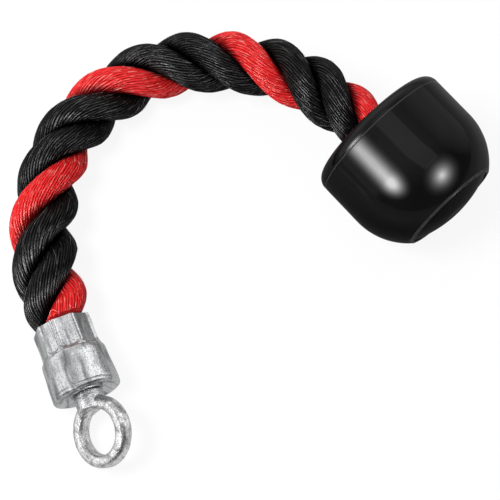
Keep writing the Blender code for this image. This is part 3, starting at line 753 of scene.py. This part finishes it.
def dent(piece, size, amount, seed):
    """Moves a piece's points along their normals by a ripple."""
    mesh = piece.data
    count = len(mesh.vertices)
    points, normals = np.zeros(count * 3), np.zeros(count * 3)
    mesh.vertices.foreach_get("co", points)
    mesh.vertex_normals.foreach_get("vector", normals)
    points, normals = points.reshape(-1, 3), normals.reshape(-1, 3)
    moved = ripple(points, size, amount, seed)
    mesh.vertices.foreach_set("co", (points + normals * moved[:, None]).ravel())
    mesh.update()


# ---------------------------------------------------------------- settings

def length_setting(name, description, default, least, most):
    """A length in metres."""
    return FloatProperty(
        name=name, description=description, default=default, min=least, max=most,
        unit="LENGTH", precision=5,
    )


def share_setting(name, description, default, most=1.0):
    """A share, from nothing to most."""
    return FloatProperty(
        name=name, description=description, default=default, min=0.0, max=most, subtype="FACTOR"
    )


def colour_setting(name, description, default):
    """A colour."""
    return FloatVectorProperty(
        name=name, description=description, default=default, min=0.0, max=1.0, size=3,
        subtype="COLOR",
    )


def light_setting(name, source, default):
    """The brightness of one source of light."""
    return FloatProperty(name=name, description=f"Brightness of {source}", default=default, min=0.0)


class RopeSettings(bpy.types.PropertyGroup):
    """Sizes and colours of the laid rope."""

    yarns: IntProperty(name="Yarns", description="Yarns round each strand", default=36, min=12, max=48)
    yarn_depth: length_setting(
        "Valley depth", "How deep the valleys between yarns are", 0.00046, 0.0, 0.001
    )
    yarn_rise: length_setting(
        "Uneven rise", "How far single yarns stand proud or sink", 0.00016, 0.0, 0.0004
    )
    yarn_slant: FloatProperty(
        name="Yarn slant", description="How far a yarn runs round its strand for each metre of rope",
        default=1.02, min=0.0, max=3.0,
    )
    yarn_stray: share_setting(
        "Yarn stray", "How far a yarn's edge wanders, as a share of its width", 0.32, 0.45
    )
    station_step: length_setting(
        "Step", "Length of rope between two rings of the mesh", 0.0014, 0.0006, 0.004
    )
    groove_shade: length_setting(
        "Groove shade", "How far the dark of the groove between strands reaches",
        0.0062, 0.0005, 0.01,
    )
    fibres: IntProperty(
        name="Stray fibres", description="Broken filaments on each strand",
        default=110, min=0, max=600,
    )
    red: colour_setting("Red", "Colour of the red yarn", (1.0, 0.030, 0.033))
    black: colour_setting("Black", "Colour of the black yarn", (0.0052, 0.0052, 0.0055))


class FittingSettings(bpy.types.PropertyGroup):
    """Sizes and colours of the socket and the swivel eye."""

    ridge_width: length_setting(
        "Ridge width", "Width of the ridge between two crimped flats", 0.00036, 0.0001, 0.002
    )
    fold: length_setting(
        "Fold", "Height of the fold that runs beside each ridge", 0.00030, 0.0, 0.0006
    )
    flat_hollow: length_setting(
        "Flat hollow", "How far the middle of a crimped flat is pressed in", 0.00038, 0.0, 0.0006
    )
    dent_depth: length_setting(
        "Dent depth", "Depth of the dents in the cast surface", 0.00005, 0.0, 0.0003
    )
    eye_grain: length_setting(
        "Eye grain", "Size of the faces that the forged eye is made of", 0.00030, 0.0002, 0.001
    )
    zinc: colour_setting("Zinc", "Colour of the cast socket", (0.68, 0.69, 0.70))
    bright: colour_setting("Bright zinc", "Colour of the forged eye", (0.88, 0.88, 0.89))


class BallSettings(bpy.types.PropertyGroup):
    """Sizes and colour of the ball and its cap."""

    parting: length_setting(
        "Parting step", "Depth of the moulding line round the rope side", 0.00014, 0.0, 0.0003
    )
    steps: IntProperty(name="Steps", description="Faces round the ball", default=192, min=48, max=512)
    polish: share_setting("Roughness", "Roughness of the gloss", 0.05)
    black: colour_setting("Black", "Colour of the moulded plastic", (0.0022, 0.0022, 0.0024))


class StudioSettings(bpy.types.PropertyGroup):
    """Lamps, world, floor and camera."""

    main: light_setting("Main", "the main light", 31.0)
    fill: light_setting("Fill", "the fill light", 2.2)
    key: light_setting("Key", "the long softbox", 42.0)
    spot: light_setting("Spot", "the small lamp", 34.0)
    cards: light_setting("Metal cards", "the cards that light only the metal, as a share", 1.0)
    top: light_setting("Top", "the overhead panel", 0.55)
    room: light_setting("Room", "the room and its pale walls, as a share", 1.0)
    floor_gloss: share_setting("Mirrored floor", "Brightness of the floor as gloss shows it", 0.32)
    floor: colour_setting("Floor", "Colour of the floor", (0.86, 0.86, 0.86))
    distance: length_setting("Distance", "From the camera to its target", 0.75, 0.2, 10.0)
    elevation: FloatProperty(
        name="Elevation", description="Of the camera above the floor", subtype="ANGLE",
        default=math.radians(72),
    )
    lens: FloatProperty(name="Lens", description="Focal length in millimetres", default=125.0, min=10.0)


# ---------------------------------------------------------------- the studio

def set_lamps(settings):
    """Cards for the metal, two graded lamps for the gloss of the rest, and the plain lights."""
    shunned, chosen = set_receivers()
    softbox, along = (-0.60, -0.53, 0.60), (0.68, -0.73, -0.07)
    small, level = (0.67, -0.42, 0.61), (0.53, 0.85, 0.0)
    for name, direction, long_way, size, radiance in (
        ("Metal card left", (-0.94, -0.07, 0.33), level, (0.90, 0.70), 0.28),
        ("Metal card right", (0.46, 0.50, 0.73), level, (0.70, 0.45), 1.2),
        ("Metal card low right", (0.82, 0.48, 0.32), level, (0.60, 0.50), 1.0),
        ("Metal card top", (-0.05, 0.22, 0.97), level, (0.50, 0.40), 0.35),
        ("Metal strip", softbox, along, (0.70, 0.15), 3.4),
    ):
        add_lamp(name, direction, long_way, size, radiance * settings.cards, receivers=chosen)
    for name, place, direction, size, radiance in (
        ("Metal bounce", (-0.075, -0.075, 0.001), (0, 0, -1), (0.26, 0.30), 0.34),
        ("Metal card beside", (0.010, -0.045, 0.026), (1, 0, 0), (0.10, 0.048), 0.5),
    ):
        radiance = radiance * settings.cards
        lamp = add_lamp(name, direction, (0, 1, 0), size, radiance, Vector(place), 0.0, chosen)
        lamp.visible_camera = False
    # Nested layers that grow brighter to a core, more steeply the higher fall is.
    layers, apart, drop = 14, 0.006, 5.5
    for name, direction, long_way, (length, width), radiance, core, shift, fall in (
        ("Long softbox", softbox, along, (1.20, 0.76), settings.key, 0.17, 0.05, 1.7),
        ("Small lamp", small, level, (0.90, 0.90), settings.spot, 0.08, 0.0, 1.3),
    ):
        sideways, before = Vector(long_way).normalized() * shift, 0.0
        for number, layer in enumerate(np.linspace(1.0, core, layers)):
            share = math.exp(drop * (core**fall - layer**fall))
            lamp = add_lamp(
                f"{name} {number + 1}", direction, long_way, (length * layer, width * layer),
                (share - before) * radiance, DOME_MIDDLE + sideways * number / (layers - 1),
                DOME_RADIUS - apart * number, shunned,
            )
            lamp.visible_diffuse = False
            before = share
    add_lamp(
        "Overhead panel", (0.10, 0.05, 0.99), (0.80, -0.60, 0.0), (0.72, 0.42), settings.top,
        shape="RECTANGLE",
    )
    for name, direction, size, radiance in (
        ("Fill light", (0.62, -0.50, 0.60), (0.50, 0.50), settings.fill),
        ("Main light", (-0.42, -0.10, 0.90), (0.30, 0.30), settings.main),
    ):
        lamp = add_lamp(name, direction, (1, 0, 0), size, radiance, Vector((0, 0, 0)), 0.9)
        lamp.visible_glossy = False


def add_lamp(
    name, direction, long_way, size, radiance,
    centre=DOME_MIDDLE, distance=DOME_RADIUS, receivers=None, shape="ELLIPSE",
):
    """An area lamp off a centre that shines back at it. Its size is (along long_way, across)."""
    length, width = size
    filled = math.pi / 4 if shape == "ELLIPSE" else 1.0
    data = bpy.data.lights.new(name, "AREA")
    data.shape, data.size, data.size_y = shape, length, width
    data.energy = math.pi * radiance * length * width * filled
    lamp = new_object(name, data)
    back, across = Vector(direction).normalized(), Vector(long_way)
    across = (across - back * across.dot(back)).normalized()
    turn = Matrix((across, back.cross(across), back)).transposed().to_4x4()
    lamp.matrix_world = Matrix.Translation(centre + back * distance) @ turn
    if receivers:
        lamp.light_linking.receiver_collection = receivers
    return lamp


def set_receivers():
    """Two groups for the lamps: one that leaves the metal pieces out, one that holds only them."""
    groups = []
    for name, state in (("All but the metal", "EXCLUDE"), ("Metal only", "INCLUDE")):
        group = bpy.data.collections.new(name)
        for piece in METAL_PIECES:
            group.objects.link(bpy.data.objects[piece])
        for entry in group.collection_objects:
            entry.light_linking.link_state = state
        groups.append(group)
    return groups


def set_camera(scene, settings):
    """A long lens that looks down on the piece."""
    data = bpy.data.cameras.new("Camera")
    data.lens = settings.lens
    data.clip_start, data.clip_end = 0.01, 20.0
    camera = new_object("Camera", data)
    back = Vector((0.0, -math.cos(settings.elevation), math.sin(settings.elevation)))
    camera.rotation_mode = "QUATERNION"
    camera.location = CAMERA_TARGET + back * settings.distance
    camera.rotation_quaternion = (-back).to_track_quat("-Z", "Y")
    scene.camera = camera


def set_floor(settings):
    """A floor nearly white to the camera and dimmer in reflections, with a painted shadow round the
    ball that only reflections show.
    """
    mesh, half = bpy.data.meshes.new("Floor"), 3.0
    corners = [(-half, -half, 0), (half, -half, 0), (half, half, 0), (-half, half, 0)]
    mesh.from_pydata(corners, [], [(0, 1, 2, 3)])
    floor = new_object("Floor", mesh)
    n = Nodes("Pale floor")
    grain = n.noise(n.place(), 30.0, 3.0)
    body = n.blend(grain, tone(settings.floor), tone(settings.floor, 0.985))
    n.finish(Base_Color=body, Roughness=0.9, Specular_IOR_Level=0.0)
    ray = n.add("ShaderNodeLightPath").outputs
    mirrored = n.sums(ray["Is Glossy Ray"], ray["Is Transmission Ray"], "MAXIMUM")
    share = n.sums(n.sums(ray["Is Camera Ray"], 0.90, "MULTIPLY"), mirrored, "MAXIMUM")
    # Painted shadow: reflections see the floor darker near the ball.
    apart = n.vector(n.place(), (0.065, 0.0, 0.0), "DISTANCE")["Value"]
    gloss = settings.floor_gloss
    level = n.blend(mirrored, grey(1.0), n.ramp(apart, (0.045, 0.24 * gloss), (0.14, gloss)))
    white = n.add("ShaderNodeEmission", {"Color": level, "Strength": 1.0})
    mix = n.add("ShaderNodeMixShader", {
        "Fac": share, 1: n.shader.outputs["BSDF"], 2: white.outputs["Emission"]
    })
    n.feed(n.tree.nodes["Material Output"].inputs["Surface"], mix.outputs["Shader"])
    mesh.materials.append(n.material)


def set_world(scene, settings):
    """A dim room, paler towards its walls, with three pale walls and a soft ceiling."""
    scene.world = bpy.data.worlds.new("Soft room")
    n = Nodes("Soft room", scene.world)
    way = n.add("ShaderNodeTexCoord").outputs["Generated"]
    height = n.add("ShaderNodeSeparateXYZ", {"Vector": way}).outputs["Z"]
    height = n.sums(height, 0.0, "ABSOLUTE")
    room = settings.room
    lit = n.ramp(height, (0.0, 0.15 * room), (0.55, 0.12 * room))
    for direction, edge, full, brightness in (
        ((0.68, 0.66, 0.31), 0.80, 0.98, 0.5),
        ((-0.99, 0.00, 0.12), 0.72, 0.97, 0.9),
        ((-0.37, 0.90, 0.22), 0.68, 0.97, 0.8),
        ((-0.30, 0.28, 0.91), 0.30, 1.0, 0.45),
    ):
        near = n.vector(way, direction, "DOT_PRODUCT")["Value"]
        patch = n.ramp(near, (edge, 0.0), (full, brightness * room))
        lit = n.blend(1.0, lit, patch, "ADD")
    background = n.tree.nodes["Background"].inputs
    n.feed(background["Color"], lit)
    n.feed(background["Strength"], 1.0)


# ---------------------------------------------------------------- operators

class TRICEPS_OT_strands(bpy.types.Operator):
    """Lay the three strands of the rope, each as its own cord"""

    bl_idname = "triceps.strands"
    bl_label = "Rope Strands"

    def execute(self, context):
        settings = context.scene.triceps_rope
        red = yarn_finish(
            "Red polypropylene yarn", settings.red, light=(1.0, 0.33, 0.28),
            dark=(0.46, 0.004, 0.006), gloss=0.20, specular=1.0, tinge=(1.0, 0.48, 0.44),
        )
        black = yarn_finish(
            "Black polypropylene yarn", settings.black, light=(0.040, 0.040, 0.038),
            dark=(0.0010, 0.0010, 0.0010), gloss=0.18, specular=0.45, tinge=(1.0, 1.0, 1.0),
        )
        strands = (
            ("red_strand", "strand_red", "red_yarn", red),
            ("first_black_strand", "strand_black_a", "black_yarn", black),
            ("second_black_strand", "strand_black_b", "black_yarn", black),
        )
        for number, (name, node, slot, material) in enumerate(strands):
            piece, middle = yarn_strand(name, number, settings, material)
            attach(piece, ROPE_BODY)
            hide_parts(node)
        return {"FINISHED"}


class TRICEPS_OT_fibres(bpy.types.Operator):
    """Add the broken filaments that stand off the strands, and the loop of fibre at the socket"""

    bl_idname = "triceps.fibres"
    bl_label = "Stray Fibres"

    def execute(self, context):
        settings = context.scene.triceps_rope
        red = fibre_finish("Red fibre", (0.88, 0.20, 0.17))
        dull = fibre_finish("Grey fibre", (0.12, 0.12, 0.12))
        pieces = (("red_fibres", red), ("first_black_fibres", dull), ("second_black_fibres", dull))
        for number, (name, material) in enumerate(pieces):
            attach(stray_fibres(name, number, settings, material), ROPE_BODY)
        turn = np.linspace(-0.8, 4.1, 26)[:, None]
        level, rising = np.array((1.0, 0.0, 0.0)), np.array((0.0, 0.82, 0.57))
        line = (
            LOOP_PLACE
            + LOOP_RADIUS * np.cos(turn) * level
            + LOOP_RADIUS * np.sin(turn) * rising
            + 0.0005 * np.sin(2 * turn) * np.cross(level, rising)
        )
        thread, walls = thread_points(line, LOOP_THICKNESS, 6)
        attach(mesh_piece("fibre_loop", thread, walls, red), ROPE_BODY)
        return {"FINISHED"}


class TRICEPS_OT_socket(bpy.types.Operator):
    """Turn the cast cup and press the eight flats of its sleeve"""

    bl_idname = "triceps.socket"
    bl_label = "Crimped Socket"

    def execute(self, context):
        settings = context.scene.triceps_fittings
        widens = CUP_TOP_RADIUS - RIDGE_RADIUS
        shoulder = [
            (RIDGE_RADIUS + widens * math.sin(a), SLEEVE_LENGTH + CUP_SHOULDER * (1 - math.cos(a)))
            for a in np.radians(np.linspace(0, 90, 20))
        ]
        groove = [
            (CUP_RADIUS - GROOVE_DEPTH * math.cos(math.pi / 2 * k) ** 2, RIM_GROOVE + k * GROOVE_HALF)
            for k in np.linspace(-1, 1, 9)
        ]
        rings = [
            *bend(RIDGE_RADIUS - MOUTH_ROUND, MOUTH_ROUND, MOUTH_ROUND, 90, 0, 4),
            *run((RIDGE_RADIUS, 0.0007), (RIDGE_RADIUS, 0.0110), 0.0003),
            *run((RIDGE_RADIUS, 0.0110), (RIDGE_RADIUS, SLEEVE_LENGTH), 0.00022),
            *shoulder,
            *run(shoulder[-1], (CUP_RADIUS, RIM_GROOVE - GROOVE_HALF), 0.0007)[1:],
            *groove,
            *bend(CUP_RADIUS - RIM_ROUND, SOCKET_LENGTH - RIM_ROUND, RIM_ROUND, 0, -90, 12),
            *SOCKET_INSIDE,
        ]
        zinc = zinc_finish(
            "Crimped zinc", settings.zinc, smudge=0.44, roughness=0.25, stretch=(1.0, 0.22, 1.0),
            relief=0.24, edge=0.32, grain=0.20, pits=0.52,
        )
        piece = turned_piece(
            "crimped_socket", rings, SOCKET_MOUTH, OUT_OF_SOCKET, zinc, 384, partial(crimped, settings)
        )
        dent(piece, 0.009, settings.dent_depth, 3)
        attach(piece, ROPE_BODY)
        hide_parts("rope_socket")
        return {"FINISHED"}


class TRICEPS_OT_eye(bpy.types.Operator):
    """Blend the swivel eye's ring, neck and collar into one forging"""

    bl_idname = "triceps.eye"
    bl_label = "Swivel Eye"

    def execute(self, context):
        settings = context.scene.triceps_fittings
        whole = bmesh.new()
        whole.from_mesh(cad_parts["swivel_eye"].data)
        whole.from_mesh(round_neck())
        body = bpy.data.meshes.new("forged_eye_body")
        whole.to_mesh(body)
        whole.free()
        piece = new_object("forged_eye", body)
        weld = piece.modifiers.new("Weld", "WELD")
        weld.merge_threshold = 0.00001
        grain = piece.modifiers.new("Grain", "REMESH")
        grain.mode = "VOXEL"
        grain.voxel_size = settings.eye_grain
        ease = piece.modifiers.new("Ease", "SMOOTH")
        ease.factor, ease.iterations = 0.5, 2
        bpy.context.view_layer.update()
        made = bpy.data.meshes.new_from_object(piece.evaluated_get(context.evaluated_depsgraph_get()))
        piece.modifiers.clear()
        piece.data = made
        made.name = "forged_eye"
        made.shade_smooth()
        made.materials.clear()
        made.materials.append(zinc_finish(
            "Bright zinc forging", settings.bright, smudge=0.50, roughness=0.17,
            relief=0.25, edge=0.40, grain=0.34, pits=0.50,
        ))
        dent(piece, 0.004, 0.5 * settings.dent_depth, 8)
        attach(piece, EYE_BODY)
        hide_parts("swivel_eye")
        return {"FINISHED"}


class TRICEPS_OT_hardware(bpy.types.Operator):
    """Finish the washers, the nut and the stop collar that the CAD already shapes"""

    bl_idname = "triceps.hardware"
    bl_label = "Washers, Nut and Collar"

    def execute(self, context):
        plated = zinc_finish("Plated steel", (0.78, 0.78, 0.79), smudge=0.60, roughness=0.26)
        dull = zinc_finish("Crimped collar steel", (0.66, 0.67, 0.68), smudge=0.55, roughness=0.36)
        for name in ("eye_washer", "shank_washer", "shank_nut", "stop_washer", "stop_collar"):
            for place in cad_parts[name].material_slots:
                place.material = dull if name == "stop_collar" else plated
        return {"FINISHED"}


class TRICEPS_OT_ball(bpy.types.Operator):
    """Turn the moulded ball with its bore, parting line and cap recess"""

    bl_idname = "triceps.ball"
    bl_label = "End Ball"

    def execute(self, context):
        settings = context.scene.triceps_ball
        step = settings.parting
        parting = [
            (BALL_RADIUS - share * step, PARTING_PLACE + along)
            for share, along in ((0.1, -0.0003), (1, -0.00012), (1, 0.00012), (0.1, 0.0003))
        ]
        side_top = (BALL_RADIUS, PARTING_PLACE + 0.0006)
        nose_end = -math.degrees(math.asin((BALL_LENGTH - BALL_SIDE_END) / NOSE_RADIUS))
        rings = [
            (0.0165, 0.0),
            (0.0220, 0.0),
            *bend(BALL_RADIUS - BALL_SHOULDER, BALL_SHOULDER, BALL_SHOULDER, 90, 0, 18),
            *parting,
            *run(side_top, (BALL_RADIUS, BALL_SIDE_END), 0.0015),
            *bend(BALL_RADIUS - NOSE_RADIUS, BALL_SIDE_END, NOSE_RADIUS, 0, nose_end + 0.8, 34),
            *bend(RIM_RADIUS - RIM_BEAD, BALL_LENGTH - RIM_BEAD, RIM_BEAD, 20, -150, 12),
            (CAP_RECESS, BALL_LENGTH - 0.0006),
            (CAP_RECESS, CAP_SEAT),
            (COUNTERBORE, CAP_SEAT),
            (COUNTERBORE, BORE_LENGTH),
            (BALL_BORE, BORE_LENGTH),
            (BALL_BORE, 0.012),
            *bend(BALL_BORE + BORE_ROUND, BORE_ROUND, BORE_ROUND, 180, 90, 6),
        ]
        # The grey given here paints a highlight along the cap's rim and the parting line.
        gloss = gloss_finish("Glossy black ball", settings.black, settings.polish, 60.0, rim_highlight_grey=0.10)
        piece = turned_piece("gloss_ball", rings, BALL_MOUTH, OUT_OF_BALL, gloss, settings.steps)
        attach(piece, ROPE_BODY)
        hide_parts("end_ball")
        return {"FINISHED"}


class TRICEPS_OT_cap(bpy.types.Operator):
    """Turn the shallow cap that closes the ball"""

    bl_idname = "triceps.cap"
    bl_label = "End Cap"

    def execute(self, context):
        settings = context.scene.triceps_ball
        round_edge, seat = 0.0003, BALL_LENGTH - 0.0007
        edge = CAP_RADIUS - 0.0001 - round_edge
        dome_height = CAP_DOME + BALL_LENGTH - seat
        sphere = (edge**2 + dome_height**2) / (2 * dome_height)
        centre = seat - sphere + dome_height
        slope, flat = (math.degrees(math.asin(r / sphere)) for r in (edge, CAP_FLAT))
        dome = bend(0.0, centre, sphere, slope - 90, flat - 90, 28)
        floor = dome[-1][1]
        rings = [
            (0.0, CAP_INSIDE),
            (SPIGOT_BORE, CAP_INSIDE),
            (SPIGOT_BORE, SPIGOT_END),
            (SPIGOT_RADIUS, SPIGOT_END),
            (SPIGOT_RADIUS, CAP_INSIDE),
            (edge + round_edge, CAP_INSIDE),
            *bend(edge, seat - round_edge, round_edge, 0, slope - 90, 6),
            *dome[1:-1],
            (CAP_FLAT + 0.0001, floor),
            (CAP_FLAT - 0.0003, floor),
            (CAP_FLAT / 2, floor),
            (0.0, floor),
        ]
        gloss = gloss_finish("Glossy black cap", settings.black, settings.polish + 0.08, 90.0, ior=1.20)
        piece = turned_piece("gloss_cap", rings, BALL_MOUTH, OUT_OF_BALL, gloss, settings.steps)
        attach(piece, ROPE_BODY)
        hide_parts("end_cap")
        return {"FINISHED"}


class TRICEPS_OT_studio(bpy.types.Operator):
    """Set the floor, the lamps, the world and the camera"""

    bl_idname = "triceps.studio"
    bl_label = "Studio"

    def execute(self, context):
        settings = context.scene.triceps_studio
        context.scene.view_settings.view_transform = "Standard"
        set_camera(context.scene, settings)
        set_floor(settings)
        set_world(context.scene, settings)
        set_lamps(settings)
        return {"FINISHED"}


FITTINGS = (TRICEPS_OT_socket, TRICEPS_OT_eye, TRICEPS_OT_hardware)
PANEL_ROWS = (
    ("triceps_rope", RopeSettings, (TRICEPS_OT_strands, TRICEPS_OT_fibres)),
    ("triceps_fittings", FittingSettings, FITTINGS),
    ("triceps_ball", BallSettings, (TRICEPS_OT_ball, TRICEPS_OT_cap)),
    ("triceps_studio", StudioSettings, (TRICEPS_OT_studio,)),
)


class TRICEPS_PT_panel(bpy.types.Panel):
    """Lists the pieces and the studio"""

    bl_idname = "TRICEPS_PT_panel"
    bl_label = "Triceps Rope"
    bl_space_type = "VIEW_3D"
    bl_region_type = "UI"
    bl_category = "Triceps Rope"

    def draw(self, context):
        for name, group, operators in PANEL_ROWS:
            box = self.layout.box()
            for setting in group.__annotations__:
                box.prop(getattr(context.scene, name), setting)
            for operator in operators:
                box.operator(operator.bl_idname)


def register():
    for name, group, operators in PANEL_ROWS:
        for item in (group, *operators):
            bpy.utils.register_class(item)
        setattr(bpy.types.Scene, name, PointerProperty(type=group))
    bpy.utils.register_class(TRICEPS_PT_panel)


def unregister():
    bpy.utils.unregister_class(TRICEPS_PT_panel)
    for name, group, operators in reversed(PANEL_ROWS):
        delattr(bpy.types.Scene, name)
        for item in (*operators, group):
            bpy.utils.unregister_class(item)


def main():
    register()
    bpy.ops.triceps.strands()
    bpy.ops.triceps.fibres()
    bpy.ops.triceps.socket()
    bpy.ops.triceps.eye()
    bpy.ops.triceps.hardware()
    bpy.ops.triceps.ball()
    bpy.ops.triceps.cap()
    bpy.ops.triceps.studio()
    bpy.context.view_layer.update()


if __name__ == "__main__":
    main()
